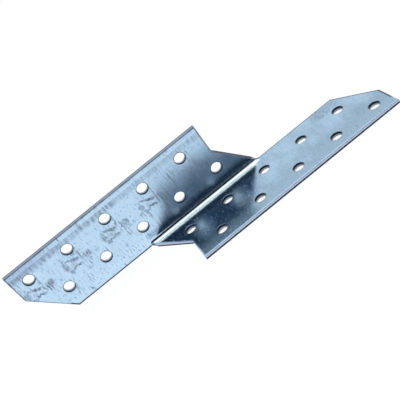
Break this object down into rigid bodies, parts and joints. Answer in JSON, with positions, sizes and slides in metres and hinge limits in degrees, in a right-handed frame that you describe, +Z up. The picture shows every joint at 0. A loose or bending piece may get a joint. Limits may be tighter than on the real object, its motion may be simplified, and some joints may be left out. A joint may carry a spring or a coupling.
{
  "type": "rafter angle bracket",
  "caption": "Folded steel angle whose two perforated legs are shifted along the fold, for nailing crossing timbers together.",
  "frame": {"origin": "bottom centre of the bounding box, on the surface that the flat leg lies on", "axes": "+X along the fold, from the upright leg's free end to the flat leg's free end; +Z up the upright leg; -Y from the fold across the flat leg"},
  "size_m": [0.17, 0.0338, 0.0337],
  "materials": {
    "galvanised_steel": "hot-dip galvanised, smooth, lightly scuffed"
  },
  "bodies": {
    "root": {"bracket": "galvanised_steel"}
  },
  "joints": []
}
